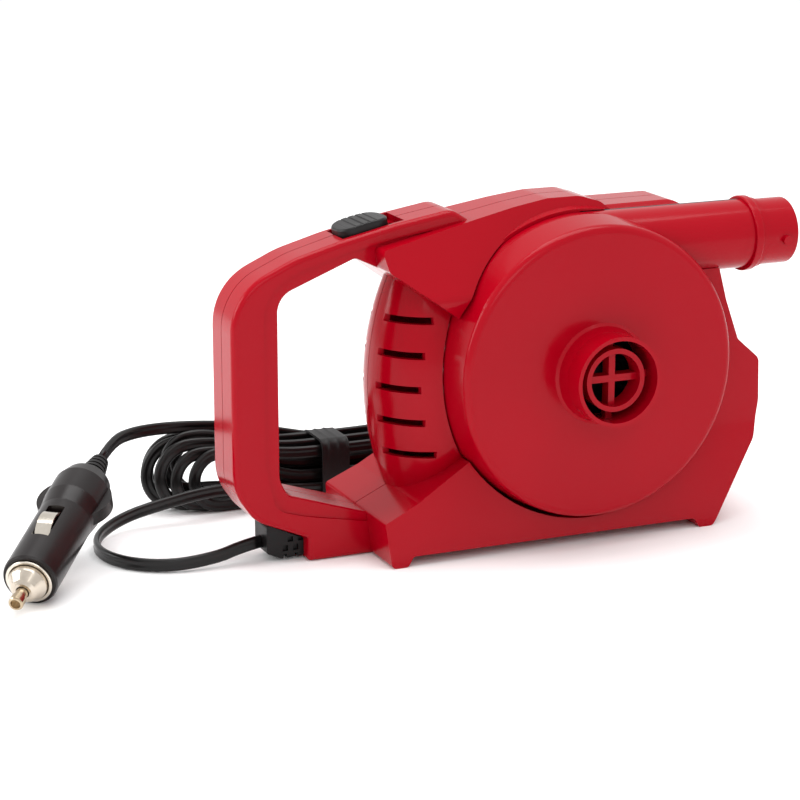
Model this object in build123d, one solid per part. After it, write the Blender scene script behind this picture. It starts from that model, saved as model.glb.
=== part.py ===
from build123d import *
import math
import os

# Electric air mattress pump, 12 V, with a hand loop, a side-facing fan and a car plug.
# Millimetres. +X runs from the hand grip to the air outlet, +Y to the back, +Z up.
# The origin is on the ground, midway along the pump, on the plane where its two halves meet.

# ---- overall sizes -------------------------------------------------------------------
LENGTH = 231.5              # grip to outlet mouth
HEIGHT = 135.0              # ground to the top of the hood
DRAWN_HEIGHT = 135.0        # the height that the outlines below are drawn for
HALF_DEPTH = 55.0           # parting plane to the port rim, and to the motor dome's face
WALL = 2.4                  # moulded wall of the housing halves
GRIP_X = -LENGTH / 2
OUTLET_X = LENGTH / 2

# ---- clearances ----------------------------------------------------------------------
SEAM_GAP = 0.7              # visible line between the volute cover and the housing
ARM_GAP = 0.3               # between the outlet arm and the block behind it
PARTING_GAP = 0.45          # width of the visible line where the halves meet
PARTING_DEPTH = 0.6
FIT_GAP = 0.15              # parts that drop into each other
RUN_GAP = 0.03              # radial, shaft in its bearings
SLIDE_GAP = 0.3             # moving parts beside fixed ones

# ---- fan, volute and ports -----------------------------------------------------------
FAN_X = 24.75
FAN_Z = HEIGHT - 64.6
FACE_Y = -40.0
FACE_R = 57.5
SEAM_Y = -19.5
SEAM_R = 59.5
VOLUTE_WALL = 2.0
VOLUTE_R = SEAM_R - 1.9     # the part of the volute that sits inside the housing
BACK_Y = -4.5
ARM_R = 13.7
ARM_Z = FAN_Z + SEAM_R - ARM_R
FLANGE_R = 15.0
NOZZLE_R = 13.2
NOZZLE_WALL = 1.8
STUD_INSET = 5.7            # outlet mouth to the bayonet studs
STUD_ANGLE = 6.0            # the studs' line turned down at the front
FLANGE_X = 95.6
PORT_R = 17.7
PORT_WALL = 1.6
PORT_BASE_R = 19.3
GRILLE_R = 12.4
GRILLE_RING = 2.0
RIB_WIDTH = 2.7
IMPELLER_R = 50.0
IMPELLER_DEPTH = 20.0
IMPELLER_BACK_Y = BACK_Y - VOLUTE_WALL - 3.0
BLADES = 12
BLADE_WALL = 1.5

# ---- housing -------------------------------------------------------------------------
RING_R = SEAM_R + SEAM_GAP + 0.6
RING_HALF = -SEAM_Y - 0.4
BARREL_X = -31.5
BARREL_R = 24.8
BARREL_Z = FAN_Z - 5.9
BARREL_ARC = 113.0 * HEIGHT / DRAWN_HEIGHT
BASE_HALF_LOW = 33.0
BASE_HALF_HIGH = 27.5
BASE_LEAN_Z = 42.0
GRIP_HALF = 12.0
DOME_R = 41.0
DOME_FILLET = 8.0
SLOT_HEIGHT = 2.8
SLOT_PITCH = 13.2
SLOT_TOP_Z = FAN_Z + 22.2
SLOT_ENDS = (-37.5, -41.5, -43.2, -41.5, -36.5)
SLOT_INNER_Y = 6.0

# ---- motor ---------------------------------------------------------------------------
MOTOR_R = 18.0
MOTOR_WALL = 1.5
MOTOR_FRONT_Y = BACK_Y + FIT_GAP
MOTOR_LENGTH = 46.0
CAP_LENGTH = 5.0
SHAFT_R = 1.59
BEARING_R = 4.0
BEARING_LENGTH = 5.0
MAGNET_WALL = 3.5
CORE_R = 11.9
CORE_LENGTH = 24.0
CORE_POLES = 3

# ---- switch --------------------------------------------------------------------------
SWITCH_X = -68.9            # left end of the button
SWITCH_LENGTH = 20.6
SWITCH_HALF = 8.2
SWITCH_TRAVEL = 4.5
SWITCH_SLOPE = 11.8         # degrees, the rise of the grip's top
SWITCH_Z = HEIGHT - 12.6            # floor of the button's recess at its left end
SWITCH_FLOOR = 1.2
BUTTON_HEIGHT = 5.8
BUTTON_RIBS = 6
STEM_X = SWITCH_LENGTH - 2.9  # where the button's stem stands, along the button
STEM_HALF = 1.4

# ---- lead and plug -------------------------------------------------------------------
CORD_WIDTH = 5.2
RELIEF_LEFT = -101.2
RELIEF_RIGHT = -84.3
RELIEF_HALF = 6.5
PLUG_TIP = Vector(-206.2, -29.4, 5.4)
PLUG_HEADING = 53.6
PLUG_TILT = 16.5
PLUG_R = 10.5
PLUG_LENGTH = 84.0
RELIEF_LENGTH = 12.0

# The lead's route, laid by hand: out of the grip's foot, round a loose loop, into the hank.
FRONT_LEAD = [
    (RELIEF_LEFT, 0, 7.0), (-110.4, -1.0, 5.9), (-120, -4.1, 4.2), (-138.9, -4.1, 2.9), (-154.2, 7.0, 2.65),
    (-160, 24.9, 2.65), (-154.2, 42.8, 3.3), (-138.9, 53.9, 6.1), (-120.5, 54.1, 9.6), (-104, 54.2, 12.0),
    (-88, 58.4, 13.2), (-75.5, 66, 13.8)]
# From the top of the hank, over its rounded end, to the plug's tail.
PLUG_LEAD = [
    (-78, 68, 24), (-92, 70.4, 30.2), (-106, 72.2, 34.9), (-119, 71.2, 36.9), (-131.4, 66.4, 37.6)]
TAIL_RUN = 15.0             # the lead's straight run out of the plug

HANK_Y = (58.0, 80.0)
HANK_SIDE = [(-122, 0), (-131, 10), (-129, 26), (-116, 34), (-92, 28.6), (-53, 25.6), (-41, 25.6),
             (0, 27), (28, 29), (38, 20), (37, 7), (28, 0)]
TIE_X = (-52.5, -40.5)
TIE_WALL = 1.0


# ---- helpers -------------------------------------------------------------------------
def outline(points, radii):
    """A closed face in local x, y from corner points, each corner with its own radius."""
    return make_face(FilletPolyline(*points, radius=radii, close=True))


def side(points, radii, y_low, y_high, inset=0.0):
    """A prism between two depths, from an outline drawn in X and Z."""
    face = outline(points, radii)
    if inset:
        face = offset(face, amount=-inset, kind=Kind.INTERSECTION)
    return Plane(origin=(0, y_high, 0), x_dir=(1, 0, 0), z_dir=(0, -1, 0)) * extrude(face, y_high - y_low)


def end_on(points, radii, x_low, x_high, inset=0.0):
    """A prism along X, from an outline drawn in Y and Z."""
    face = outline(points, radii)
    if inset:
        face = offset(face, amount=-inset, kind=Kind.INTERSECTION)
    return Plane(origin=(x_low, 0, 0), x_dir=(0, 1, 0), z_dir=(1, 0, 0)) * extrude(face, x_high - x_low)


def rod_y(r, y_low, y_high, x=FAN_X, z=FAN_Z):
    """A round bar along Y."""
    return Pos(x, (y_low + y_high) / 2, z) * Rot(90, 0, 0) * Cylinder(r, y_high - y_low)


def rod_x(r, x_low, x_high, y=SEAM_Y, z=ARM_Z):
    """A round bar along X."""
    return Pos((x_low + x_high) / 2, y, z) * Rot(0, 90, 0) * Cylinder(r, x_high - x_low)


def tube_y(r_out, r_in, y_low, y_high):
    return rod_y(r_out, y_low, y_high) - rod_y(r_in, y_low - 1, y_high + 1)


def block(x0, x1, y0, y1, z0, z1):
    return Pos((x0 + x1) / 2, (y0 + y1) / 2, (z0 + z1) / 2) * Box(x1 - x0, y1 - y0, z1 - z0)


def turned(points, x=FAN_X, z=FAN_Z):
    """A solid turned about the fan's axis, from (radius, Y) points."""
    face = make_face(Polyline(*[(r, y) for r, y in points], close=True))
    return Pos(x, 0, z) * revolve(face, Axis.Y)


def up(z):
    """A height in the upper part of the drawn outlines, moved with the top of the hood."""
    return z + HEIGHT - DRAWN_HEIGHT


def front_half(shape):
    return shape & block(-300, 300, -300, 0, -50, 300)


def back_half(shape):
    return shape & block(-300, 300, 0, 300, -50, 300)


# ---- housing masses ------------------------------------------------------------------
GRIP_OUTLINE = [(-14, up(122)), (-18, up(128.4)), (-25.5, up(133.3)), (-48, up(129.6)), (-72, up(124.3)),
                (-90, up(119.3)), (GRIP_X, up(107.6)), (GRIP_X, 31), (-107, 18.4), (-86, 9.4), (-86, 0),
                (-50, 0), (-50, 17), (-62, 17.2), (-94, 27.6), (-97, 34), (-97, up(105)),
                (-65.5, up(117.4)), (-40, up(105))]
GRIP_RADII = [0, 6, 8, 60, 60, 40, 24, 22, 14, 1, 1.5, 0, 0, 4, 5, 7, 9, 3, 0]
BAND_OUTLINE = [(-24, up(127.4)), (-48, up(124.3)), (-72, up(119.4)), (-88, up(114.4)),
                (-103, up(107.0)), (-103, 40), (-99, 22), (-86, 18.2), (-62, 13.6), (-50, 13.6),
                (-50, 30), (-86, 30), (-90, 36), (-90, up(101)),
                (-65, up(112)), (-40, up(119))]
BAND_RADII = [2, 60, 60, 20, 16, 30, 8, 20, 20, 0, 0, 2, 5, 12, 4, 2]
BASE_OUTLINE = [(-60, 0), (-62, 17.5), (-48, 24), (-24, 38.5), (-10, up(60)), (60, up(112)),
                (82.5, up(106)), (86.4, up(91.6)), (92.4, up(75)), (102.4, up(66.2)),
                (102.9, 48.6), (100.6, 33.6), (80.4, 0), (74, 0), (72, 4),
                (-51, 4), (-53.5, 0)]
BASE_RADII = [2.4, 1.6, 4, 4, 4, 4, 3, 20, 3, 4, 12, 8, 2.4, 1.8, 2, 2, 1.8]
HOOD_OUTLINE = [(-57, up(113.6)), (-58, up(121.0)), (-18, up(129.2)), (0, up(132.6)),
                (FAN_X - 10, HEIGHT - 0.3), (FAN_X + 4, HEIGHT - 0.3), (37, up(132.2)), (50, up(120)),
                (60, up(96)), (0, up(80)), (-27, up(92))]
HOOD_RADII = [2, 2, 60, 60, 14, 10, 6, 4, 4, 4, 2]
OUTLET_OUTLINE = [(30, up(100)), (30, up(130.2)), (70, up(130.4)), (77.5, up(125)), (79, up(100))]
OUTLET_RADII = [1, 1, 8, 6, 1]


def grip_loop(inset=0.0):
    """The hand loop: a flat-fronted bow whose inner band stands 0.8 mm back."""
    bow = side(GRIP_OUTLINE, GRIP_RADII, -GRIP_HALF + inset, GRIP_HALF - inset, inset)
    if inset:
        return bow
    faces = bow.faces().filter_by(Axis.Y)
    bow = fillet(faces.edges(), 2.2)
    for y in (-GRIP_HALF, GRIP_HALF):
        bow -= side(BAND_OUTLINE, BAND_RADII, y - 0.8, y + 0.8)
    return bow


def barrel(inset=0.0):
    """The bulging motor cooling chamber beside the grip, turned about an upright axis."""
    r = BARREL_R - inset
    z_low = 20 + inset
    z_high = up(120) - inset
    centre = r - (BARREL_ARC - inset)
    reach = BARREL_ARC - inset

    def radius(z):
        return centre + math.sqrt(reach ** 2 - (z - BARREL_Z) ** 2)

    arc = ThreePointArc((radius(z_low), z_low), (r, BARREL_Z), (radius(z_high), z_high))
    edge = arc + Polyline((radius(z_high), z_high), (0, z_high), (0, z_low), (radius(z_low), z_low))
    face = Plane.XZ * make_face(edge)
    return Pos(BARREL_X, 0, 0) * revolve(face, Axis.Z)


def base_block(inset=0.0):
    """Foot block, ramps and side panel, leaning back as they rise."""
    depth = BASE_HALF_LOW + 5
    prism = side(BASE_OUTLINE, BASE_RADII, -depth, depth, inset)
    low, high = BASE_HALF_LOW - inset, BASE_HALF_HIGH - inset
    lean = end_on([(-low, -1), (low, -1), (low, 3), (high, BASE_LEAN_Z), (high, up(140)), (-high, up(140)),
                   (-high, BASE_LEAN_Z), (-low, 3)], [0, 0, 4, 30, 0, 0, 30, 4], -80, 120)
    return prism & lean


def hood(inset=0.0):
    """The roof over the fan: a narrow ridge that spreads into two sloping sides."""
    prism = side(HOOD_OUTLINE, HOOD_RADII, -40, 40, inset)
    top = HEIGHT + 0.6
    roof = end_on([(-10.5, top), (-31, up(102)), (-27.4, up(92)), (-27.4, up(70)), (27.4, up(70)),
                   (27.4, up(92)), (31, up(102)), (10.5, top)], [3, 5, 3, 0, 0, 3, 5, 3], -70, 70, inset)
    return prism & roof


def outlet_block(inset=0.0):
    """The squared shoulder behind the outlet arm."""
    prism = side(OUTLET_OUTLINE, OUTLET_RADII, -30, 30, inset)
    section = end_on([(-21, up(96)), (-21, up(118)), (-12, up(130.9)), (12, up(130.9)), (21, up(118)),
                      (21, up(96))],
                     [0, 8, 9, 9, 8, 0], 20, 90, inset)
    return prism & section


def fan_ring(inset=0.0):
    return rod_y(RING_R - inset, -RING_HALF, RING_HALF - inset)


def motor_dome(inset=0.0):
    """The round bulge at the back that covers the motor."""
    dome = rod_y(DOME_R - inset, 10, HALF_DEPTH - inset)
    rim = dome.edges().filter_by(GeomType.CIRCLE).sort_by(Axis.Y)[-1]
    return fillet(rim, DOME_FILLET - inset)


def housing_mass(inset=0.0):
    mass = base_block(inset) + barrel(inset) + hood(inset) + fan_ring(inset)
    mass = mass + outlet_block(inset) + motor_dome(inset) + grip_loop(inset)
    return mass


# ---- housing halves ------------------------------------------------------------------
SCREW_R = 1.5
BOSS_R = 3.6
HEAD_R = 3.0
HEAD_HEIGHT = 2.0
SCREW_SPOTS = [(-102.9, 50), (-101.2, up(103.8)), (-54, 11.5), (84, 25), (93, up(56)), (-32, up(117))]


def screw_bosses(y_low, y_high):
    posts = [rod_y(BOSS_R, y_low, y_high, x, z) for x, z in SCREW_SPOTS]
    return Compound(children=posts)


def vent_slots():
    """Five level slots round each side of the cooling chamber."""
    cuts = []
    for row, x_end in enumerate(SLOT_ENDS):
        z = SLOT_TOP_Z - row * SLOT_PITCH
        for y in (-1, 1):
            near, far = sorted((y * SLOT_INNER_Y, y * (BARREL_R + 4)))
            cuts.append(block(-60, x_end, near, far, z - SLOT_HEIGHT / 2, z + SLOT_HEIGHT / 2))
    return cuts


def dome_slots():
    """Cooling slots in the face of the motor dome."""
    cuts = []
    for row in range(-3, 4):
        z = FAN_Z + row * 7.0
        half = math.sqrt((DOME_R - 14) ** 2 - (row * 7.0) ** 2)
        cuts.append(block(FAN_X - half, FAN_X + half, HALF_DEPTH - 8, HALF_DEPTH + 1, z - 1.3, z + 1.3))
    return cuts


def switch_frame():
    """The place on the grip's sloping top where the button's recess starts."""
    return Pos(SWITCH_X, 0, SWITCH_Z) * Rot(0, -SWITCH_SLOPE, 0)


def switch_recess():
    length = SWITCH_LENGTH + SWITCH_TRAVEL + 2 * SLIDE_GAP
    recess = Pos(length / 2 - SLIDE_GAP, 0, 6) * Box(length, 2 * SWITCH_HALF + 2 * SLIDE_GAP, 12)
    slot = Pos(STEM_X + SWITCH_TRAVEL / 2, 0, -1) * Box(2 * STEM_HALF + SWITCH_TRAVEL + 2 * SLIDE_GAP, 5, 6)
    return switch_frame() * (recess + slot)


def switch_floor():
    """The sloping floor that the button slides on."""
    length = SWITCH_LENGTH + SWITCH_TRAVEL
    return switch_frame() * Pos(length / 2, 0, 0) * Box(length + 4, 2 * SWITCH_HALF + 4, 2 * SWITCH_FLOOR)


def relief_socket():
    """Where the strain relief plugs into the underside of the grip."""
    return block(RELIEF_LEFT + 4 - FIT_GAP, RELIEF_RIGHT - 4 + FIT_GAP, -4 - FIT_GAP, 4 + FIT_GAP, 5, 24)


def make_housing():
    outer = housing_mass()
    inner = housing_mass(WALL)
    shell = outer - inner
    bosses = (screw_bosses(-40, 40) & outer)
    shell = shell + bosses + (switch_floor() & outer)
    # the volute sits in front, the outlet arm passes through, the fan chamber stays open
    shell -= rod_y(SEAM_R + SEAM_GAP, -HALF_DEPTH, -RING_HALF)
    shell -= rod_y(VOLUTE_R + FIT_GAP, -RING_HALF - 1, BACK_Y + 1)
    shell -= rod_x(ARM_R + ARM_GAP, FAN_X, OUTLET_X)
    shell -= block(FAN_X, OUTLET_X, -HALF_DEPTH, SEAM_Y, ARM_Z, HEIGHT + 5)
    for cut in vent_slots() + dome_slots():
        shell -= cut
    shell -= switch_recess()
    shell -= relief_socket()
    front = front_half(shell)
    line = (outer - housing_mass(PARTING_DEPTH)) & block(-300, 300, 0, PARTING_GAP, -50, 300)
    back = back_half(shell) - line
    for x, z in SCREW_SPOTS:
        front -= rod_y(SCREW_R + 0.03, -8.6, 1, x, z)
        back -= rod_y(SCREW_R + FIT_GAP, -1, 60, x, z)
        back -= rod_y(HEAD_R + FIT_GAP, 6, 60, x, z)
    return largest(front), largest(back)


def largest(shape):
    """The main solid, without slivers that a cut leaves loose."""
    return sorted(shape.solids(), key=lambda s: s.volume)[-1]


def shell_screws():
    screws = []
    for x, z in SCREW_SPOTS:
        head = rod_y(HEAD_R, 6 + 0.05, 6 + 0.05 + HEAD_HEIGHT, x, z)
        shank = rod_y(SCREW_R, -8, 6 + 0.05, x, z)
        cross = block(x - 1.7, x + 1.7, 7.2, 9, z - 0.35, z + 0.35)
        cross += block(x - 0.35, x + 0.35, 7.2, 9, z - 1.7, z + 1.7)
        screws.append(head + shank - cross)
    return Compound(children=screws)


# ---- volute --------------------------------------------------------------------------
def volute_cover():
    """Front disc with the air intake port, and the front half of the outlet arm."""
    outer = turned([(0, FACE_Y), (FACE_R, FACE_Y), (SEAM_R, -24), (SEAM_R, SEAM_Y), (0, SEAM_Y)])
    rim = outer.edges().filter_by(GeomType.CIRCLE).sort_by(Axis.Y)[0]
    outer = fillet(rim, 3.2)
    arm = rod_x(ARM_R, FAN_X, FLANGE_X) & block(-50, 200, -60, SEAM_Y, 0, 200)
    outer = outer + arm + port_outer()
    w = VOLUTE_WALL
    hollow = turned([(0, FACE_Y + w), (FACE_R - w - 0.6, FACE_Y + w), (VOLUTE_R - w, -24),
                     (VOLUTE_R - w, SEAM_Y + 1), (0, SEAM_Y + 1)])
    cover = outer - hollow - rod_x(ARM_R - w, FAN_X, FLANGE_X + 1)
    cover -= rod_y(PORT_R - PORT_WALL, -HALF_DEPTH - 1, FACE_Y + 6)
    return largest(cover + port_grille())


def port_outer():
    """The intake port's collar: a flared foot and a straight rim for an adapter."""
    return turned([(0, FACE_Y + 1), (PORT_BASE_R + 0.7, FACE_Y + 1), (PORT_BASE_R + 0.7, FACE_Y),
                   (PORT_BASE_R - 0.4, FACE_Y - 1.0), (PORT_R, FACE_Y - 5.5), (PORT_R, -HALF_DEPTH),
                   (0, -HALF_DEPTH)])


def port_grille():
    """A ring and a cross that keep fingers out of the fan."""
    ring = tube_y(GRILLE_R, GRILLE_R - GRILLE_RING, -51.5, -43.0)
    reach = PORT_R - PORT_WALL + 0.4
    half = RIB_WIDTH / 2
    level = block(FAN_X - GRILLE_R + 1, FAN_X + GRILLE_R - 1, -48, -43, FAN_Z - half, FAN_Z + half)
    upright = block(FAN_X - half, FAN_X + half, -48, -43, FAN_Z - GRILLE_R + 1, FAN_Z + GRILLE_R - 1)
    spokes = block(FAN_X - reach, FAN_X + reach, -46, -43, FAN_Z - half, FAN_Z + half)
    spokes += block(FAN_X - half, FAN_X + half, -46, -43, FAN_Z - reach, FAN_Z + reach)
    spokes -= rod_y(GRILLE_R - 1, -60, -30)
    return ring + level + upright + spokes


def volute_back():
    """Rear half of the fan chamber, with the motor's seat and the arm's rear half."""
    w = VOLUTE_WALL
    y0 = SEAM_Y + FIT_GAP
    body = rod_y(VOLUTE_R, y0, BACK_Y)
    arm = rod_x(ARM_R, FAN_X, FLANGE_X) & block(-50, 200, y0, BACK_Y, 0, 200)
    body = body + arm
    body -= rod_y(VOLUTE_R - w, y0 - 1, BACK_Y - w)
    body -= rod_x(ARM_R - w, FAN_X, FLANGE_X + 1)
    body -= rod_y(BEARING_R + 2.5, BACK_Y - w - 1, BACK_Y + 1)
    for x in (-MOTOR_SCREW_OFFSET, MOTOR_SCREW_OFFSET):
        body -= rod_y(1.6, BACK_Y - w - 1, BACK_Y + 1, FAN_X + x, FAN_Z)
    return largest(body)


def nozzle_tube():
    """Outlet tube with its stop collar and two bayonet studs."""
    collar = rod_x(FLANGE_R, FLANGE_X, FLANGE_X + 3.4)
    ends = collar.edges().filter_by(GeomType.CIRCLE)
    collar = fillet(ends, 0.6)
    tube = rod_x(NOZZLE_R, FLANGE_X + 1, OUTLET_X)
    mouth = tube.edges().filter_by(GeomType.CIRCLE).sort_by(Axis.X)[-1]
    tube = fillet(mouth, 0.7)
    step = rod_x(NOZZLE_R + 0.7, FLANGE_X + 1, FLANGE_X + 6.0)
    spigot = rod_x(ARM_R - VOLUTE_WALL - FIT_GAP, FLANGE_X - 9, FLANGE_X + 1)
    body = collar + tube + step + spigot
    body -= rod_x(NOZZLE_R - NOZZLE_WALL, FLANGE_X - 20, OUTLET_X + 1)
    for y in (-1, 1):
        stud = Pos(0, y * (NOZZLE_R + 0.35), 0) * Rot(90, 0, 0) * Cylinder(1.9, 2.3)
        body += Pos(OUTLET_X - STUD_INSET, SEAM_Y, ARM_Z) * Rot(STUD_ANGLE, 0, 0) * stud
    return body


# ---- fan and motor -------------------------------------------------------------------
MOTOR_SCREW_OFFSET = 12.5
TERMINAL_OFFSET = 9.0


def impeller():
    """Backward-curved fan wheel pressed on the motor shaft."""
    y_back = IMPELLER_BACK_Y
    y_front = y_back - IMPELLER_DEPTH
    wheel = rod_y(IMPELLER_R, y_back - 1.6, y_back)
    hub = rod_y(7.0, y_back - 15, y_back)
    blade_face = blade_outline()
    blades = []
    for n in range(BLADES):
        blade = Plane(origin=(FAN_X, y_back - 1.5, FAN_Z), x_dir=(1, 0, 0), z_dir=(0, -1, 0))
        solid = blade * (Rot(0, 0, n * 360 / BLADES) * extrude(blade_face, -y_front + y_back - 1.5))
        blades.append(solid)
    fan = wheel + hub
    for solid in blades:
        fan += solid
    return fan - rod_y(SHAFT_R, y_back - 20, y_back + 1)


def blade_outline():
    """One blade seen from the front: an arc of constant thickness."""
    inner = ThreePointArc((18, 0), (35, 5.0), (IMPELLER_R - 0.6, 16))
    outer = ThreePointArc((18, -BLADE_WALL), (35.4, 5.0 - BLADE_WALL), (IMPELLER_R - 0.2, 16 - BLADE_WALL))
    edge = inner + Line(inner @ 1, outer @ 1) + outer + Line(outer @ 0, inner @ 0)
    return make_face(edge)


def motor_can():
    y0 = MOTOR_FRONT_Y
    can = rod_y(MOTOR_R, y0, y0 + MOTOR_LENGTH)
    can -= rod_y(MOTOR_R - MOTOR_WALL, y0 + MOTOR_WALL, y0 + MOTOR_LENGTH + 1)
    can += rod_y(BEARING_R + 1.6, y0 - 2.6, y0 + MOTOR_WALL + 2)
    can -= rod_y(BEARING_R, y0 - 3, y0 + MOTOR_WALL + 3)
    for x in (-MOTOR_SCREW_OFFSET, MOTOR_SCREW_OFFSET):
        can -= rod_y(1.3, y0 - 1, y0 + MOTOR_WALL + 1, FAN_X + x, FAN_Z)
    for angle in (60, 120, 240, 300):
        x = FAN_X + (MOTOR_R - 6) * math.cos(math.radians(angle))
        z = FAN_Z + (MOTOR_R - 6) * math.sin(math.radians(angle))
        can -= rod_y(2.2, y0 - 1, y0 + MOTOR_WALL + 1, x, z)
    return can


def field_magnets():
    r = MOTOR_R - MOTOR_WALL - 0.05
    ring = tube_y(r, r - MAGNET_WALL, MOTOR_FRONT_Y + 8, MOTOR_FRONT_Y + 38)
    gap = block(FAN_X - 6, FAN_X + 6, -10, 60, FAN_Z - 30, FAN_Z + 30)
    return ring - gap


def motor_end_cap():
    y0 = MOTOR_FRONT_Y + MOTOR_LENGTH
    cap = rod_y(MOTOR_R, y0 + FIT_GAP, y0 + CAP_LENGTH)
    cap += rod_y(MOTOR_R - MOTOR_WALL - FIT_GAP, y0 - 2, y0 + CAP_LENGTH)
    cap -= rod_y(BEARING_R, y0 - 5, y0 + CAP_LENGTH + 1)
    for x in (FAN_X - TERMINAL_OFFSET, FAN_X + TERMINAL_OFFSET):
        cap -= block(x - 1.6, x + 1.6, y0 - 5, y0 + CAP_LENGTH + 1, FAN_Z - 3, FAN_Z + 3)
    return cap


def bearing(y_low):
    return rod_y(BEARING_R, y_low, y_low + BEARING_LENGTH) - rod_y(SHAFT_R + RUN_GAP, y_low - 1, y_low + 20)


def motor_shaft():
    return rod_y(SHAFT_R, IMPELLER_BACK_Y - 17, MOTOR_FRONT_Y + MOTOR_LENGTH + CAP_LENGTH - 0.6)


def armature_core():
    y0 = MOTOR_FRONT_Y + 11
    core = rod_y(CORE_R, y0, y0 + CORE_LENGTH)
    for n in range(CORE_POLES):
        angle = math.radians(n * 360 / CORE_POLES + 60)
        for reach, width in ((0.72, 4.4), (1.0, 1.5)):
            x = FAN_X + CORE_R * reach * math.cos(angle)
            z = FAN_Z + CORE_R * reach * math.sin(angle)
            core -= rod_y(width, y0 - 1, y0 + CORE_LENGTH + 1, x, z)
    return core - rod_y(SHAFT_R, y0 - 1, y0 + 40)


def armature_coils():
    """The wound copper between the core's poles, one bundle to each slot."""
    y0 = MOTOR_FRONT_Y + 11
    coils = []
    for n in range(CORE_POLES):
        angle = math.radians(n * 360 / CORE_POLES + 60)
        x = FAN_X + CORE_R * 0.72 * math.cos(angle)
        z = FAN_Z + CORE_R * 0.72 * math.sin(angle)
        bundle = rod_y(4.2, y0 - 2, y0 + CORE_LENGTH + 2, x, z) & rod_y(CORE_R - 0.6, y0 - 3, y0 + 30)
        coils.append(bundle - rod_y(SHAFT_R + 1.2, y0 - 4, y0 + 40))
    return Compound(children=coils)


def commutator():
    y0 = MOTOR_FRONT_Y + 37.6
    return tube_y(4.6, SHAFT_R, y0, y0 + 5.6)


def brushes():
    y0 = MOTOR_FRONT_Y + 38.4
    pair = []
    for x in (-1, 1):
        low, high = sorted((FAN_X + x * (4.6 + 0.15), FAN_X + x * 10.5))
        pair.append(block(low, high, y0, y0 + 4, FAN_Z - 1.8, FAN_Z + 1.8))
    return Compound(children=pair)


def motor_terminals():
    y0 = MOTOR_FRONT_Y + MOTOR_LENGTH
    tabs = [block(x - 0.4, x + 0.4, y0 - 2, y0 + CAP_LENGTH + 1.4, FAN_Z - 2.4, FAN_Z + 2.4)
            for x in (FAN_X - TERMINAL_OFFSET, FAN_X + TERMINAL_OFFSET)]
    return Compound(children=tabs)


def motor_screws():
    y_seat = BACK_Y - VOLUTE_WALL
    screws = []
    for x in (-MOTOR_SCREW_OFFSET, MOTOR_SCREW_OFFSET):
        head = rod_y(2.6, y_seat - 0.05 - 1.6, y_seat - 0.05, FAN_X + x, FAN_Z)
        shank = rod_y(1.25, y_seat - 0.1, MOTOR_FRONT_Y + 3, FAN_X + x, FAN_Z)
        screws.append(head + shank)
    return Compound(children=screws)


# ---- switch --------------------------------------------------------------------------
def switch_button():
    """Ribbed thumb slide with a stem that drives the switch."""
    body = Box(SWITCH_LENGTH, 2 * SWITCH_HALF, BUTTON_HEIGHT)
    body = Pos(SWITCH_LENGTH / 2, 0, BUTTON_HEIGHT / 2 + 0.1) * body
    body = fillet(body.edges().filter_by(Axis.Z), 6.0)
    crown = Pos(SWITCH_LENGTH / 2, 0, BUTTON_HEIGHT - 60) * Rot(90, 0, 0) * Cylinder(60, 40)
    body = body & crown
    top = body.faces().filter_by(GeomType.CYLINDER).sort_by(Axis.Z)[-1]
    body = fillet(top.edges(), 0.9)
    for n in range(BUTTON_RIBS):
        x = SWITCH_LENGTH * (n + 1) / (BUTTON_RIBS + 1)
        body -= Pos(x, 0, BUTTON_HEIGHT + 0.05) * Rot(90, 0, 0) * Cylinder(0.55, 30)
    stem = Pos(STEM_X, 0, -1.6) * Box(2 * STEM_HALF, 4, 4.0)
    return switch_frame() * (body + stem)


SWITCH_CASE = (15.6, 8.0, 6.2)
SWITCH_CASE_X = STEM_X + 5.4


def switch_body():
    """The slide switch under the button."""
    low = -SWITCH_FLOOR - FIT_GAP
    case = Pos(SWITCH_CASE_X, 0, low - SWITCH_CASE[2] / 2) * Box(*SWITCH_CASE)
    slot = Box(2 * STEM_HALF + SWITCH_TRAVEL + 2 * SLIDE_GAP, 4.6, 6)
    slot = Pos(STEM_X + SWITCH_TRAVEL / 2, 0, low) * slot
    return switch_frame() * (case - slot)


def switch_tags():
    top = -SWITCH_FLOOR - FIT_GAP - SWITCH_CASE[2]
    tags = [switch_frame() * Pos(SWITCH_CASE_X + x, 0, top - 1.5) * Box(2.0, 0.6, 3.0) for x in (-4, 4)]
    return Compound(children=tags)


# ---- lead ----------------------------------------------------------------------------
def strain_relief():
    """Slotted block under the grip's foot that keeps the lead from kinking."""
    points = [(RELIEF_LEFT, 3.6), (RELIEF_LEFT, 15.2), (RELIEF_RIGHT - 0.3, 7.4), (RELIEF_RIGHT - 0.3, 1.6),
              (RELIEF_LEFT + 6, 1.0)]
    body = side(points, [1.4, 1.0, 0.6, 0.8, 2.4], -RELIEF_HALF, RELIEF_HALF)
    body += block(RELIEF_LEFT + 4, RELIEF_RIGHT - 4, -4, 4, 4, 21)
    outside = side([(-120, 30), (-112, 18.6), (-84, 9.2), (-70, 9.2), (-70, 40), (-120, 40)],
                   [0, 0, 0, 0, 0, 0], 4.05, 30)
    body -= outside
    body -= mirror(outside, Plane.XZ)
    for n in range(3):
        x = RELIEF_LEFT + 7.6 + n * 4.3
        body -= block(x - 0.7, x + 0.7, -10, 10, 0, 2.6)
        for y in (-1, 1):
            low, high = sorted((y * (RELIEF_HALF - 1.4), y * 10))
            body -= block(x - 1.1, x + 1.1, low, high, 3.8, 6.2)
            body -= block(x + 1.0, x + 3.2, low, high, 7.4, 9.4)
    return largest(body - relief_trim())


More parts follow.
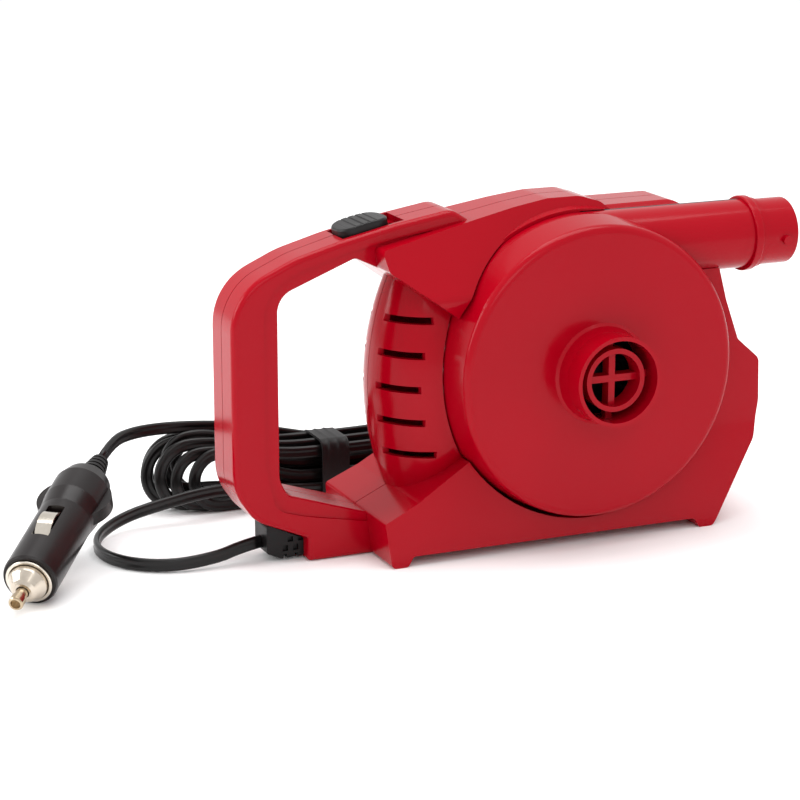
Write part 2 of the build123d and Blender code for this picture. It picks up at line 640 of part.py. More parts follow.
def relief_trim():
    """The grip's own foot, which the block's top follows."""
    grip = side(GRIP_OUTLINE, GRIP_RADII, -GRIP_HALF, GRIP_HALF)
    return grip - block(RELIEF_LEFT + 4 - 0.01, RELIEF_RIGHT - 4 + 0.01, -4.01, 4.01, 0, 30)


def lead(name, points):
    """A round tube along straight runs joined by the largest tangent arcs the runs allow."""
    vectors = [Vector(*p) for p in points]
    radii = []
    for before, here, after in zip(vectors, vectors[1:], vectors[2:]):
        shorter = min((here - before).length, (after - here).length)
        turn = math.radians((here - before).get_angle(after - here))
        radii.append(0.45 * shorter / math.tan(turn / 2))
    path = FilletPolyline(*points, radius=radii)
    tube = sweep(Plane(path @ 0, z_dir=path % 0) * Circle(CORD_WIDTH / 2), path=path)
    section = math.pi * (CORD_WIDTH / 2) ** 2
    print(name, "radii", [round(r, 1) for r in radii], "length", round(path.length, 1),
          "volume ratio", round(tube.volume / (section * path.length), 4))
    return tube


def cord_hank():
    body = side(HANK_SIDE, [4] * len(HANK_SIDE), *HANK_Y)
    return body - tie_outer()


def tie_outer():
    low, high = HANK_Y
    return block(TIE_X[0], TIE_X[1], low - 1, high + 1, -1, 27)


def cord_tie():
    """The band round the middle of the hank."""
    low, high = HANK_Y
    return block(TIE_X[0], TIE_X[1], low, high, 0, 26.2)


# ---- plug ----------------------------------------------------------------------------
def plug_plane():
    heading, tilt = math.radians(PLUG_HEADING), math.radians(PLUG_TILT)
    along = Vector(math.cos(tilt) * math.cos(heading), math.cos(tilt) * math.sin(heading), math.sin(tilt))
    up = Vector(-math.sin(tilt) * math.cos(heading), -math.sin(tilt) * math.sin(heading), math.cos(tilt))
    return Plane(origin=PLUG_TIP, x_dir=along, z_dir=up)


def along(r, s0, s1):
    """A round bar on the plug's own axis, measured from its tip."""
    return Pos((s0 + s1) / 2, 0, 0) * Rot(0, 90, 0) * Cylinder(r, s1 - s0)


def plug_turned(points):
    face = make_face(Polyline(*points, close=True))
    return revolve(face, Axis.X)


FUSE_R = 3.2
KNURLS = 30
KNURL_WIDTH = 0.55
KNURL_LEAN = -34.5          # degrees, the cap's cone
CAVITY_R = 4.4
CONTACT_SLOT = (30.0, 49.0)
CONTACT_WIDTH = 6.0


def plug_body():
    """Black moulded body: a straight nose, a fuller grip and two finger fins."""
    grip_r = PLUG_R + 0.9
    body = plug_turned([(15, 0), (15, PLUG_R - 0.4), (16, PLUG_R), (54, PLUG_R), (62, grip_r), (74, grip_r),
                        (80, PLUG_R - 0.9), (PLUG_LENGTH, 6.6), (PLUG_LENGTH, 0)])
    fins = Pos(66, 0, 0) * Cylinder(14.4, 5.0)
    fins = fins & (Pos(66, 0, 0) * Box(22, 40, 5))
    body = body + fins
    body -= along(9.0, 14, 20.5)
    body -= along(CAVITY_R, 20, 58.1)
    for z in (-1, 1):
        slot = Pos((CONTACT_SLOT[0] + CONTACT_SLOT[1]) / 2, 0, z * 8) * Box(CONTACT_SLOT[1] - CONTACT_SLOT[0],
                                                                            CONTACT_WIDTH + 2 * SLIDE_GAP, 10)
        body -= slot
    body -= along(1.8, 57, PLUG_LENGTH + 1)
    return plug_plane().location * body


def plug_tail_relief():
    """Ribbed boot that the lead leaves through."""
    s0 = PLUG_LENGTH + 0.02
    boot = plug_turned([(s0, 0), (s0, 5.6), (s0 + RELIEF_LENGTH, 3.5), (s0 + RELIEF_LENGTH, 0)])
    for n in range(4):
        s = s0 + 1.8 + n * 2.6
        boot -= along(10, s, s + 1.0) - along(4.6 - n * 0.4, s - 1, s + 2)
    return plug_plane().location * boot


def tail_points():
    """The lead's last corner and its end, in line with the plug."""
    end = PLUG_LENGTH + RELIEF_LENGTH + 0.02
    return [tuple((plug_plane().location * Pos(s, 0, 0)).position) for s in (end + TAIL_RUN, end)]


def plug_ring():
    ring = along(8.9, 13.9, 20.3) - along(7.6, 12, 22)
    rim = ring.edges().filter_by(GeomType.CIRCLE).sort_by(Axis.X)[:2]
    return plug_plane().location * fillet(rim, 0.4)


def plug_cap():
    """Screwed metal nose that holds the fuse and guides the tip."""
    cap = plug_turned([(7.4, 0), (7.4, 3.6), (8.4, 4.9), (11.6, 7.1), (12.4, 7.4), (19, 7.4), (19, 0)])
    for n in range(KNURLS):
        groove = Pos(10.0, 0, 6.6) * Rot(0, KNURL_LEAN, 0) * Box(5.4, KNURL_WIDTH, 1.0)
        cap -= Rot(n * 360 / KNURLS, 0, 0) * groove
    cap -= along(2.6, 0, 12)
    cap -= along(FUSE_R + 0.5, 11.0, 30)
    return plug_plane().location * cap


def plug_tip():
    """Sprung centre contact."""
    tip = plug_turned([(0, 1.9), (0, 2.5), (0.5, 2.8), (3.4, 2.8), (3.9, 2.3), (11.6, 2.3), (11.6, 3.4),
                       (13.0, 3.4), (13.0, 0), (2.2, 0), (2.2, 1.9)])
    return plug_plane().location * tip


def plug_fuse():
    fuse = along(FUSE_R, 13.05, 44)
    return plug_plane().location * fuse


def plug_spring():
    """Coil spring behind the fuse, drawn as its envelope."""
    spring = along(3.2, 44.1, 58) - along(2.4, 43, 60)
    return plug_plane().location * spring


def plug_contact(z_sign):
    """Bowed leaf that presses on the socket's wall."""
    s0, s1 = CONTACT_SLOT
    s0 += 1.6
    s1 -= 1.6
    mid = (s0 + s1) / 2
    low = PLUG_R - 2.4
    outer = ThreePointArc((s0, low), (mid, PLUG_R + 1.5), (s1, low))
    inner = ThreePointArc((s0 + 0.9, low), (mid, PLUG_R + 0.8), (s1 - 0.9, low))
    edge = outer + Line(outer @ 1, inner @ 1) + inner + Line(inner @ 0, outer @ 0)
    leaf = extrude(Plane.XZ * make_face(edge), CONTACT_WIDTH / 2, both=True)
    if z_sign < 0:
        leaf = mirror(leaf, Plane.XY)
    return plug_plane().location * leaf


# ---- wiring inside -------------------------------------------------------------------
WIRE_R = 0.9


def wire(points, radius):
    path = FilletPolyline(*points, radius=radius)
    return sweep(Plane(path @ 0, z_dir=path % 0) * Circle(WIRE_R), path=path)


def supply_wire():
    """From the strain relief up the grip to the switch."""
    end = (switch_frame() * Pos(SWITCH_CASE_X - SWITCH_CASE[0] / 2 - 0.25, 0, -4.2)).position
    return wire([(-97.6, 0, 21.05), (-97.6, 0, 25), (-110, 0, 38), (-110, 0, up(96)),
                 (-106.6, 0, up(106.2)), (-95, 0, up(112.5)), (-74, 0, up(118.5)), (-66, 0, up(120.8)),
                 tuple(end)], [1.5, 4, 8, 4, 5, 8, 4])


def write(name, shape):
    export_step(shape, os.path.join("parts", name + ".step"))


def main():
    os.makedirs("parts", exist_ok=True)
    front, back = make_housing()
    write("front_shell", front)
    write("rear_shell", back)
    write("shell_screws", shell_screws())
    write("volute_cover", volute_cover())
    write("volute_back", volute_back())
    write("nozzle_tube", nozzle_tube())
    write("impeller", impeller())
    write("motor_can", motor_can())
    write("field_magnets", field_magnets())
    write("motor_end_cap", motor_end_cap())
    write("front_bearing", bearing(MOTOR_FRONT_Y - 1.6))
    write("rear_bearing", bearing(MOTOR_FRONT_Y + MOTOR_LENGTH - 1.0))
    write("motor_shaft", motor_shaft())
    write("armature_core", armature_core())
    write("armature_coils", armature_coils())
    write("commutator", commutator())
    write("brushes", brushes())
    write("motor_terminals", motor_terminals())
    write("motor_screws", motor_screws())
    write("switch_button", switch_button())
    write("switch_body", switch_body())
    write("switch_tags", switch_tags())
    write("supply_wire", supply_wire())
    write("strain_relief", strain_relief())
    write("lead_front", lead("lead_front", FRONT_LEAD))
    write("lead_plug", lead("lead_plug", PLUG_LEAD + tail_points()))
    write("cord_hank", cord_hank())
    write("cord_tie", cord_tie())
    write("plug_body", plug_body())
    write("plug_tail_relief", plug_tail_relief())
    write("plug_ring", plug_ring())
    write("plug_cap", plug_cap())
    write("plug_tip", plug_tip())
    write("plug_fuse", plug_fuse())
    write("plug_spring", plug_spring())
    write("plug_contact_top", plug_contact(1))
    write("plug_contact_low", plug_contact(-1))


main()
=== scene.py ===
import bpy
import math
from mathutils import Matrix, Vector


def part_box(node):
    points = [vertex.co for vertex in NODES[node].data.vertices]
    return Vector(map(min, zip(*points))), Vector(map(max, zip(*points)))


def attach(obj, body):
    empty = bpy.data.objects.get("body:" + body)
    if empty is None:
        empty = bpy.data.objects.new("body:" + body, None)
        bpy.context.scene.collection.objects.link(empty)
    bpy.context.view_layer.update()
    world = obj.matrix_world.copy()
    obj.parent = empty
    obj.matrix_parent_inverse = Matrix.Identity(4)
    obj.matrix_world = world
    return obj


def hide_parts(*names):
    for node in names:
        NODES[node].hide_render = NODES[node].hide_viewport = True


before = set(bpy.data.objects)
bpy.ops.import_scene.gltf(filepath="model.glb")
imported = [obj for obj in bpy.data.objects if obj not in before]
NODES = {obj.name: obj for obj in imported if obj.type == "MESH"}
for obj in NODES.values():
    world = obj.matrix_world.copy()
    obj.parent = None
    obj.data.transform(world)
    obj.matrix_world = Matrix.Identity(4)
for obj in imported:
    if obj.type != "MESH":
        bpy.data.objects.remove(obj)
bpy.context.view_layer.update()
MM = 0.001

# ---- lead: the route's own points, in millimetres ------------------------------------
CORE_R = 1.3                # insulation round one core
CORE_APART = 1.3            # from the lead's middle to each core
FRONT_LEAD = [
    (-101.2, 0, 7.0), (-110.4, -1.0, 5.9), (-120, -4.1, 4.2), (-138.9, -4.1, 2.9), (-154.2, 7.0, 2.7),
    (-160, 24.9, 2.7), (-154.2, 42.8, 3.3), (-138.9, 53.9, 6.1), (-120.5, 54.1, 9.6), (-104, 54.2, 12.0),
    (-88, 56.4, 11.0), (-72, 58.6, 7.6)]
PLUG_LEAD = [(-62, 79.6, 25.2), (-77, 77.0, 29.6), (-91, 74.4, 32.8), (-106, 72.6, 34.8), (-119, 71.2, 35.8),
             (-131.4, 66.4, 36.6)]
PLUG_TIP = Vector((-206.2, -29.4, 5.4))
PLUG_HEADING = math.radians(53.6)
PLUG_TILT = math.radians(16.5)
PLUG_AXIS = Vector((math.cos(PLUG_TILT) * math.cos(PLUG_HEADING),
                    math.cos(PLUG_TILT) * math.sin(PLUG_HEADING), math.sin(PLUG_TILT)))
PLUG_END = 96.02            # plug's tip to where the lead leaves its boot
TAIL_RUN = 15.0             # straight run behind the boot

# ---- hank: upright turns side by side, held in at the band ---------------------------
TURN_PITCH = 2.6            # from one turn to the next, front to back
HANK_FRONT = 60.0
HANK_MIDDLE = 70.0
TIE_X = -46.5
LEFT_ENDS = [-107, -114, -120, -117, -124, -112, -122]
RIGHT_ENDS = [30, 33.5, 31.5, 35.5, 33, 36.5, 34, 36]
RIGHT_FOLD = (16.6, 13.6)   # middle height and radius
LEFT_HELD = -62             # the strands lie closed up between these two places
RIGHT_HELD = -14
LEVEL_RUN = 16              # a strand is level over this run into its fold
LEFT_STOPS = (-84, -66)     # places on the way, and how far from each fold the last one lies
RIGHT_STOPS = (-28, -10)
LEFT_LEAD_IN = 20
RIGHT_LEAD_IN = 19
TIE_REACH = 30              # how far along the band's squeeze is felt
SQUEEZE = 0.08              # part of the depth lost at the band
FOLD_CORNERS = 5            # route points round a fold
FOLD_TURN = 36              # degrees from one to the next
UPRIGHT_EASE = 0.2          # how readily the flat lead stands on its edge
# each turn's bottom and top height where it is held, then its left fold's middle height and radius
TURNS = [(4.8, 21.2, 14.2, 11.4), (3.6, 10.2, 14.4, 11.4), (3.4, 23.0, 16.0, 13.0), (8.6, 15.4, 20.4, 11.4),
         (4.0, 20.2, 16.0, 13.2), (3.6, 9.8, 17.6, 11.6), (3.6, 23.2, 16.2, 13.2), (6.0, 21.6, 16.6, 13.4)]


def mm(x, y, z):
    """A place given in millimetres, in metres."""
    return Vector((x * MM, y * MM, z * MM))


def linear(hex_colour):
    """An sRGB hex colour as the linear values that shaders use."""
    channels = [int(hex_colour[i:i + 2], 16) / 255 for i in (0, 2, 4)]
    return (*[c / 12.92 if c <= 0.04045 else ((c + 0.055) / 1.055) ** 2.4 for c in channels], 1.0)


# ---- camera --------------------------------------------------------------------------
def make_camera():
    """A long lens, to the left of the pump and a little above it."""
    data = bpy.data.cameras.new("camera")
    data.lens = 112.76
    data.sensor_width = 36.0
    data.clip_end = 50.0
    camera = bpy.data.objects.new("camera", data)
    bpy.context.scene.collection.objects.link(camera)
    right = Vector((0.91845, -0.39555, 0.0))
    up = Vector((0.10191, 0.23663, 0.96624))
    back = Vector((-0.38219, -0.88744, 0.25764))
    turn = Matrix((right, up, back)).transposed()
    camera.matrix_world = Matrix.Translation(mm(-416.45, -867.93, 309.15)) @ turn.to_4x4()
    bpy.context.scene.camera = camera


# ---- lead and hank -------------------------------------------------------------------
def strand(laid, x, held, loose, x_end):
    """A place on a strand, by the turns in front of it and its heights where held and at its loose end."""
    side, start = (1, RIGHT_HELD) if x_end > 0 else (-1, LEFT_HELD)
    past = min(max((x - start) / (x_end - LEVEL_RUN * side - start), 0), 1)
    swing = past * past * (3 - 2 * past)
    near_tie = math.exp(-((x - TIE_X) / TIE_REACH) ** 2)
    y = HANK_FRONT + TURN_PITCH * laid
    squeezed = HANK_MIDDLE + (y - HANK_MIDDLE) * (1 - SQUEEZE * near_tie)
    return x, squeezed, held + (loose - held) * swing


def fold(laid, x_end, side, middle, r):
    """Half a turn round one end: side is 1 at the right, going up, and -1 at the left, going down."""
    reach = r / math.cos(math.radians(FOLD_TURN / 2))
    points = []
    for step in range(FOLD_CORNERS):
        angle = math.radians(FOLD_TURN * (step - 2))
        x = x_end + side * (reach * math.cos(angle) - r)
        y = HANK_FRONT + TURN_PITCH * (laid + 0.1 * step)
        points.append((x, y, middle + side * reach * math.sin(angle)))
    return points


def hank_route():
    """Seven and a half turns: along the bottom to the right, back over the top to the left."""
    points = []
    right_middle, right_r = RIGHT_FOLD
    for turn, (low, high, middle, r) in enumerate(TURNS):
        right = RIGHT_ENDS[turn]
        if turn:
            before = TURNS[turn - 1]
            for x in (LEFT_ENDS[turn - 1] + LEFT_LEAD_IN, *LEFT_STOPS):
                points.append(strand(turn, x, low, before[2] - before[3], LEFT_ENDS[turn - 1]))
        for x in (TIE_X, *RIGHT_STOPS, right - RIGHT_LEAD_IN):
            points.append(strand(turn, x, low, right_middle - right_r, right))
        points += fold(turn + 0.05, right, 1, right_middle, right_r)
        for x in (right - RIGHT_LEAD_IN, *reversed(RIGHT_STOPS), TIE_X):
            points.append(strand(turn + 0.5, x, high, right_middle + right_r, right))
        if turn < len(LEFT_ENDS):
            for x in (*reversed(LEFT_STOPS), LEFT_ENDS[turn] + LEFT_LEAD_IN):
                points.append(strand(turn + 0.5, x, high, middle + r, LEFT_ENDS[turn]))
            points += fold(turn + 0.55, LEFT_ENDS[turn], -1, middle, r)
    return points


def line_points(name, points):
    """One smooth open spline with these control points, read before it has any thickness."""
    curve = bpy.data.curves.new(name, "CURVE")
    curve.dimensions = "3D"
    spline = curve.splines.new("NURBS")
    spline.points.add(len(points) - 1)
    for point, place in zip(spline.points, points):
        point.co = (*mm(*place), 1.0)
    spline.order_u = 3
    spline.use_endpoint_u = True
    spline.resolution_u = 5
    holder = bpy.data.objects.new(name, curve)
    mesh = bpy.data.meshes.new_from_object(holder)
    line = [v.co.copy() for v in mesh.vertices]
    bpy.data.objects.remove(holder)
    bpy.data.meshes.remove(mesh)
    bpy.data.curves.remove(curve)
    return line


def twin_section():
    """Two round cores side by side, with a groove between them."""
    section = []
    for side in (1, -1):
        for step in range(9):
            angle = math.radians(-136 + 34 * step)
            wide = side * (CORE_APART + CORE_R * math.cos(angle))
            section.append((wide * MM, side * CORE_R * math.sin(angle) * MM))
    return section


def swept(name, line, section, wide):
    """The section carried along the line, its wide side easing upright where the lead runs level."""
    verts, faces = [], []
    count = len(section)
    for i, place in enumerate(line):
        heading = (line[min(i + 1, len(line) - 1)] - line[max(i - 1, 0)]).normalized()
        wide = (wide - wide.dot(heading) * heading).normalized()
        upright = Vector((0, 0, 1)) - heading.z * heading
        ease = UPRIGHT_EASE * (1 - abs(heading.z)) * (1 if upright.dot(wide) >= 0 else -1)
        wide = (wide + ease * upright).normalized()
        thin = heading.cross(wide)
        verts += [place + wide * a + thin * b for a, b in section]
    for i in range(len(line) - 1):
        for j in range(count):
            k = (j + 1) % count
            faces.append((i * count + j, i * count + k, (i + 1) * count + k, (i + 1) * count + j))
    faces.append(tuple(reversed(range(count))))
    faces.append(tuple(range(len(verts) - count, len(verts))))
    mesh = bpy.data.meshes.new(name)
    mesh.from_pydata(verts, [], faces)
    mesh.validate()
    for face in mesh.polygons:
        face.use_smooth = len(face.vertices) == 4
    return mesh


def make_lead():
    """The whole lead, from the strain relief through its hank to the plug."""
    tail = [tuple(PLUG_TIP + PLUG_AXIS * s) for s in (PLUG_END + TAIL_RUN, PLUG_END)]
    line = line_points("lead_route", FRONT_LEAD + hank_route() + PLUG_LEAD + tail)
    mesh = swept("cord", line, twin_section(), Vector((0, 0, 1)))
    cord = bpy.data.objects.new("cord", mesh)
    bpy.context.scene.collection.objects.link(cord)
    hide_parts("lead_front", "cord_hank", "lead_plug")
    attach(cord, "housing")
    return cord, line


# ---- band round the hank -------------------------------------------------------------
BAND_WRAPS = 3
BAND_CORNER = 4.5
BAND_WALL = 0.9
BAND_STEP = 0.5             # each wrap's edge stands this far above the next


def select_edges(piece, wanted):
    """Only the edges whose two ends satisfy the test."""
    bpy.ops.object.mode_set(mode="EDIT")
    bpy.ops.mesh.select_mode(type="EDGE")
    bpy.ops.mesh.select_all(action="DESELECT")
    bpy.ops.object.mode_set(mode="OBJECT")
    for edge in piece.data.edges:
        edge.select = wanted(*[piece.data.vertices[i].co for i in edge.vertices])
    bpy.ops.object.mode_set(mode="EDIT")


def make_band():
    """Flat band wound round the hank, with rounded corners and overlapping wraps."""
    low, high = [Vector(corner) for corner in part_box("cord_tie")]
    high.z += 0.6 * MM
    low.y -= 0.6 * MM
    high.y += 0.6 * MM
    size, middle = high - low, (high + low) / 2
    bpy.ops.object.select_all(action="DESELECT")
    bpy.ops.mesh.primitive_cube_add(size=1, location=middle, scale=size)
    band = bpy.context.object
    band.name = "hank_band"
    bpy.ops.object.transform_apply(location=True, rotation=True, scale=True)
    bpy.ops.object.mode_set(mode="EDIT")
    bpy.ops.mesh.select_mode(type="FACE")
    bpy.ops.mesh.select_all(action="DESELECT")
    bpy.ops.object.mode_set(mode="OBJECT")
    for face in band.data.polygons:
        face.select = abs(face.normal.x) > 0.9
    bpy.ops.object.mode_set(mode="EDIT")
    bpy.ops.mesh.delete(type="ONLY_FACE")
    select_edges(band, lambda a, b: abs(a.x - b.x) > size.x / 2)
    bpy.ops.mesh.bevel(offset=BAND_CORNER * MM, segments=6, affect="EDGES")
    select_edges(band, lambda a, b: abs(a.x - b.x) > size.x / 2)
    bpy.ops.mesh.subdivide_edgering(number_cuts=BAND_WRAPS * 6 - 1, interpolation="LINEAR", smoothness=0)
    bpy.ops.object.mode_set(mode="OBJECT")
    for vertex in band.data.vertices:
        outward = Vector((0, vertex.co.y - middle.y, vertex.co.z - middle.z)).normalized()
        skew = 0.25 * math.atan2(outward.z, outward.y) / math.pi
        along = (vertex.co.x - low.x) / size.x * BAND_WRAPS
        step = ((along + skew) % 1.0) if 0 < along < BAND_WRAPS else 1.0
        vertex.co -= outward * BAND_STEP * MM * (1 - (1 - step) ** 3)
    wall = band.modifiers.new("wall", "SOLIDIFY")
    wall.thickness = BAND_WALL * MM
    wall.offset = -1
    bpy.ops.object.modifier_apply(modifier="wall")
    bpy.ops.object.shade_smooth_by_angle(angle=math.radians(40))
    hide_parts("cord_tie")
    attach(band, "housing")
    return band


# ---- materials -----------------------------------------------------------------------
def add(tree, kind, sockets, **settings):
    """One shader node, with its settings, and with a value or a link on each socket named."""
    made = tree.nodes.new(kind)
    for name, value in settings.items():
        setattr(made, name, value)
    for name, value in sockets.items():
        if isinstance(value, bpy.types.NodeSocket):
            tree.links.new(value, made.inputs[name])
        else:
            made.inputs[name].default_value = value
    return made.outputs


def blank(name):
    """A material with nothing in it yet."""
    made = bpy.data.materials.new(name)
    made.use_nodes = True
    made.node_tree.nodes.clear()
    return made


def per_metre(size):
    """Texture scale for a feature that is this many millimetres across."""
    return 1 / (size * MM)


def plastic(name, colours, rough, grain, relief, level, **more):
    """Moulded or extruded plastic: a colour that drifts a little between two shades, a fine surface
    left by the tool, and gloss that is uneven where it has been handled."""
    made = blank(name)
    tree = made.node_tree
    place = add(tree, "ShaderNodeTexCoord", {})["Object"]
    broad = add(tree, "ShaderNodeTexNoise", {"Vector": place, "Scale": per_metre(40), "Detail": 2.0})["Fac"]
    patchy = add(tree, "ShaderNodeTexNoise", {"Vector": place, "Scale": per_metre(9), "Detail": 4.0})["Fac"]
    fine = add(tree, "ShaderNodeTexNoise", {"Vector": place, "Scale": per_metre(grain), "Detail": 3.0})["Fac"]
    colour = add(tree, "ShaderNodeMix", {"Factor": broad, "A": linear(colours[0]), "B": linear(colours[1])},
                 data_type="RGBA")
    gloss = add(tree, "ShaderNodeMapRange", {"Value": patchy, "To Min": rough * 0.8, "To Max": rough * 1.25})
    bump = add(tree, "ShaderNodeBump", {"Height": fine, "Distance": relief * MM, "Strength": 1.0})
    body = {"Base Color": colour["Result"], "Roughness": gloss["Result"], "Normal": bump["Normal"],
            "IOR": 1.53, "Specular IOR Level": level, **more}
    shader = add(tree, "ShaderNodeBsdfPrincipled", body)
    add(tree, "ShaderNodeOutputMaterial", {"Surface": shader["BSDF"]})
    return made


def metal(name, colours, rough, streak, grain, relief):
    """Metal: slight tarnish between two shades, and marks drawn out along the tool's path."""
    made = blank(name)
    tree = made.node_tree
    place = add(tree, "ShaderNodeTexCoord", {})["Object"]
    drawn = add(tree, "ShaderNodeMapping", {"Vector": place, "Scale": streak})["Vector"]
    tarnish = add(tree, "ShaderNodeTexNoise", {"Vector": place, "Scale": per_metre(4), "Detail": 4.0})["Fac"]
    size = {"Scale": per_metre(grain), "Detail": 4.0}
    marks = add(tree, "ShaderNodeTexNoise", {"Vector": drawn, **size})["Fac"]
    colour = add(tree, "ShaderNodeMix", {"Factor": tarnish, "A": linear(colours[0]), "B": linear(colours[1])},
                 data_type="RGBA")
    gloss = add(tree, "ShaderNodeMapRange", {"Value": marks, "To Min": rough * 0.7, "To Max": rough * 1.35})
    bump = add(tree, "ShaderNodeBump", {"Height": marks, "Distance": relief * MM, "Strength": 0.6})
    shader = add(tree, "ShaderNodeBsdfPrincipled", {
        "Base Color": colour["Result"], "Metallic": 1.0, "Roughness": gloss["Result"],
        "Normal": bump["Normal"]})
    add(tree, "ShaderNodeOutputMaterial", {"Surface": shader["BSDF"]})
    return made


def enamelled_copper():
    """Fine copper wire wound side by side, 0.4 mm thick, under clear amber enamel."""
    made = blank("enamelled_copper_wire")
    tree = made.node_tree
    place = add(tree, "ShaderNodeTexCoord", {})["Object"]
    wires = add(tree, "ShaderNodeTexWave", {"Vector": place, "Scale": per_metre(0.4 * 20), "Distortion": 0.4},
                bands_direction="X")["Fac"]
    # the colour follows the bump's bands: darker in the grooves between turns, which is painted shade, and
    # lighter on the crowns, which is painted highlight
    colour = add(tree, "ShaderNodeMix", {"Factor": wires, "A": linear("8E4A24"), "B": linear("B96A3A")},
                 data_type="RGBA")
    bump = add(tree, "ShaderNodeBump", {"Height": wires, "Distance": 0.2 * MM})
    shader = add(tree, "ShaderNodeBsdfPrincipled", {
        "Base Color": colour["Result"], "Metallic": 1.0, "Roughness": 0.32, "Normal": bump["Normal"]})
    add(tree, "ShaderNodeOutputMaterial", {"Surface": shader["BSDF"]})
    return made


def clear_glass():
    """Drawn glass tube of a cartridge fuse, faintly green and slightly wavy."""
    made = blank("fuse_soda_glass")
    tree = made.node_tree
    place = add(tree, "ShaderNodeTexCoord", {})["Object"]
    waves = add(tree, "ShaderNodeTexNoise", {"Vector": place, "Scale": per_metre(3), "Detail": 2.0})["Fac"]
    colour = add(tree, "ShaderNodeMix", {"Factor": waves, "A": linear("DCE8E4"), "B": linear("C8D6D2")},
                 data_type="RGBA")
    bump = add(tree, "ShaderNodeBump", {"Height": waves, "Distance": 0.05 * MM})
    shader = add(tree, "ShaderNodeBsdfPrincipled", {
        "Base Color": colour["Result"], "Roughness": 0.05, "IOR": 1.5, "Transmission Weight": 0.8,
        "Normal": bump["Normal"]})
    add(tree, "ShaderNodeOutputMaterial", {"Surface": shader["BSDF"]})
    return made


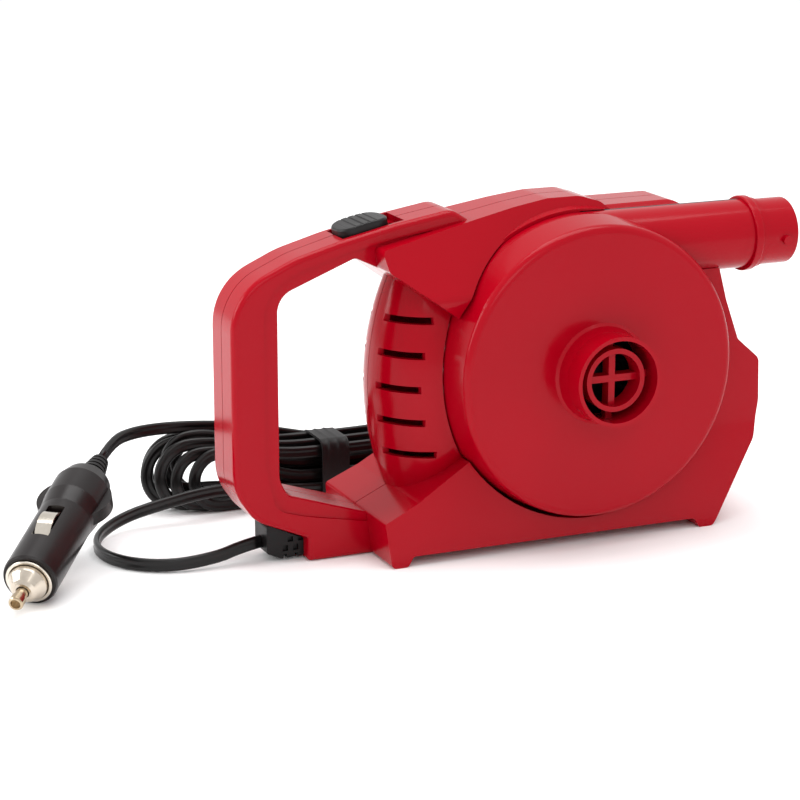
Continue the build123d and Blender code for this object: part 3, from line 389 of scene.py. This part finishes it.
def paint(cord, band):
    """Every piece and node gets the finish of its own real material."""
    level = (1, 1, 1)
    along_y = (1, 0.08, 1)
    # injection moulded ABS, polished tool: deep gloss with the faintest orange peel
    red = plastic("red_gloss_abs", ("A20016", "9A0013"), 0.17, 1.4, 0.004, 0.14)
    # the same plastic without the polish, on the thumb slide
    black = plastic("black_satin_abs", ("161213", "100D0E"), 0.34, 0.5, 0.010, 0.24)
    # glass filled nylon inside: dull and a little grainy
    nylon = plastic("black_filled_nylon", ("28282A", "1F1F21"), 0.50, 0.7, 0.020, 0.35)
    # hard thermoset plug body: dark brown black, smooth
    plug = plastic("brown_black_phenolic", ("1A1313", "120D0D"), 0.30, 0.8, 0.010, 0.26)
    # extruded flexible PVC: waxy, with a soft sheen along the cores
    cord_pvc = plastic("extruded_cord_pvc", ("110E0E", "0B0909"), 0.30, 1.0, 0.015, 0.30,
                       **{"Sheen Weight": 0.03, "Sheen Roughness": 0.5})
    # softer moulded PVC of the boots: duller than the lead
    boot_pvc = plastic("moulded_boot_pvc", ("141112", "0E0C0C"), 0.40, 0.5, 0.020, 0.22)
    # the band: matt and slightly greyer, so its wraps stand off the lead
    band_pvc = plastic("matt_band_pvc", ("1C1819", "121010"), 0.46, 0.6, 0.020, 0.26)
    # fired ferrite: dark, dry and grainy
    ferrite = plastic("sintered_ferrite", ("3A3A3C", "2E2E30"), 0.60, 0.3, 0.030, 0.5)
    # pressed carbon: near black, with a dusty look
    carbon = plastic("pressed_carbon", ("242426", "1A1A1C"), 0.55, 0.3, 0.030, 0.5)
    # satin plating on the plug's nose: warm, soft highlights
    nickel = metal("satin_nickel_plate", ("D6CCBE", "B9AD9E"), 0.22, level, 0.5, 0.010)
    # bright plating on the ring and the leaf contacts: crisp highlights
    bright = metal("bright_nickel_plate", ("E0D9CE", "C9BFB1"), 0.12, level, 0.8, 0.004)
    # plating worn through to brass at the tip: yellower than the nose
    pin = metal("worn_nickel_on_brass", ("CDBBA0", "A38F74"), 0.20, level, 0.6, 0.010)
    # zinc plate: pale grey, with faint marks along the motor can
    zinc = metal("zinc_plated_steel", ("B9BCC0", "A2A5A9"), 0.30, along_y, 0.4, 0.010)
    # blackened steel: screw heads that read as dark dots
    dark = metal("blackened_steel", ("4A4B4E", "3A3B3E"), 0.35, level, 0.4, 0.010)
    # ground shaft: bright, with fine rings round it
    ground = metal("ground_shaft_steel", ("C6C8CB", "B4B6BA"), 0.18, (1, 12, 1), 1.2, 0.005)
    # oil-filled bronze: dull brown gold
    bronze = metal("sintered_bronze", ("A9803F", "8C6730"), 0.45, level, 0.2, 0.020)
    # stacked sheets: lines across the shaft
    core = metal("stacked_silicon_steel", ("85888C", "6B6E72"), 0.40, (1, 12, 1), 1.2, 0.030)
    # bare brass tags: plain yellow
    brass = metal("bare_brass", ("CDA85A", "B48F45"), 0.25, level, 0.4, 0.010)
    # commutator bars: bare copper, rubbed along the shaft
    bars = metal("bare_copper_bars", ("C4794A", "A35F38"), 0.3, (1, 0.1, 1), 0.5, 0.02)
    finishes = {
        red: ["front_shell", "rear_shell", "volute_cover", "nozzle_tube"],
        black: ["switch_button"],
        nylon: ["volute_back", "impeller", "motor_end_cap", "switch_body"],
        plug: ["plug_body"],
        boot_pvc: ["strain_relief", "plug_tail_relief"],
        cord_pvc: ["supply_wire", "cord_hank", "lead_front", "lead_plug"],
        band_pvc: ["cord_tie"],
        nickel: ["plug_cap"],
        bright: ["plug_ring", "plug_contact_top", "plug_contact_low"],
        pin: ["plug_tip"],
        zinc: ["motor_can"],
        dark: ["shell_screws", "motor_screws", "plug_spring"],
        ground: ["motor_shaft"],
        bronze: ["front_bearing", "rear_bearing"],
        core: ["armature_core"],
        brass: ["motor_terminals", "switch_tags"],
        ferrite: ["field_magnets"],
        carbon: ["brushes"],
        enamelled_copper(): ["armature_coils"],
        bars: ["commutator"],
        clear_glass(): ["plug_fuse"],
    }
    for finish, names in finishes.items():
        for name in names:
            for slot in NODES[name].material_slots:
                slot.material = finish
    cord.data.materials.append(cord_pvc)
    band.data.materials.append(band_pvc)


# ---- studio --------------------------------------------------------------------------
def softbox(name, place, size, power):
    """A rectangular light turned towards the pump."""
    target = Vector((0.0, 0.0, 0.06))
    data = bpy.data.lights.new(name, "AREA")
    data.shape = "RECTANGLE"
    data.size, data.size_y = size
    data.energy = power
    lamp = bpy.data.objects.new(name, data)
    bpy.context.scene.collection.objects.link(lamp)
    lamp.location = place
    lamp.rotation_euler = (target - Vector(place)).to_track_quat("-Z", "Y").to_euler()


def make_studio():
    """White board floor, even white surroundings and three softboxes."""
    bpy.ops.object.select_all(action="DESELECT")
    bpy.ops.mesh.primitive_plane_add(size=16.0)
    ground = bpy.context.object
    ground.name = "floor"
    board = blank("white_matt_board")
    tree = board.node_tree
    shader = add(tree, "ShaderNodeBsdfPrincipled", {
        "Base Color": linear("FCFCFC"), "Roughness": 0.8, "Specular IOR Level": 0.0})
    add(tree, "ShaderNodeOutputMaterial", {"Surface": shader["BSDF"]})
    ground.data.materials.append(board)
    world = bpy.data.worlds.new("studio")
    world.use_nodes = True
    surround = world.node_tree.nodes["Background"]
    surround.inputs["Color"].default_value = linear("FFFFFF")
    surround.inputs["Strength"].default_value = 0.92
    bpy.context.scene.world = world
    bpy.context.scene.view_settings.view_transform = "Standard"
    softbox("left_box", (-1.5, 0.5, 0.7), (0.9, 0.9), 14)
    softbox("top_box", (0.1, 0.1, 1.5), (1.4, 0.9), 15)
    softbox("front_box", (-0.5, -1.6, 1.1), (0.9, 0.7), 4)


make_camera()
lead, lead_line = make_lead()
hank_band = make_band()
paint(lead, hank_band)
make_studio()
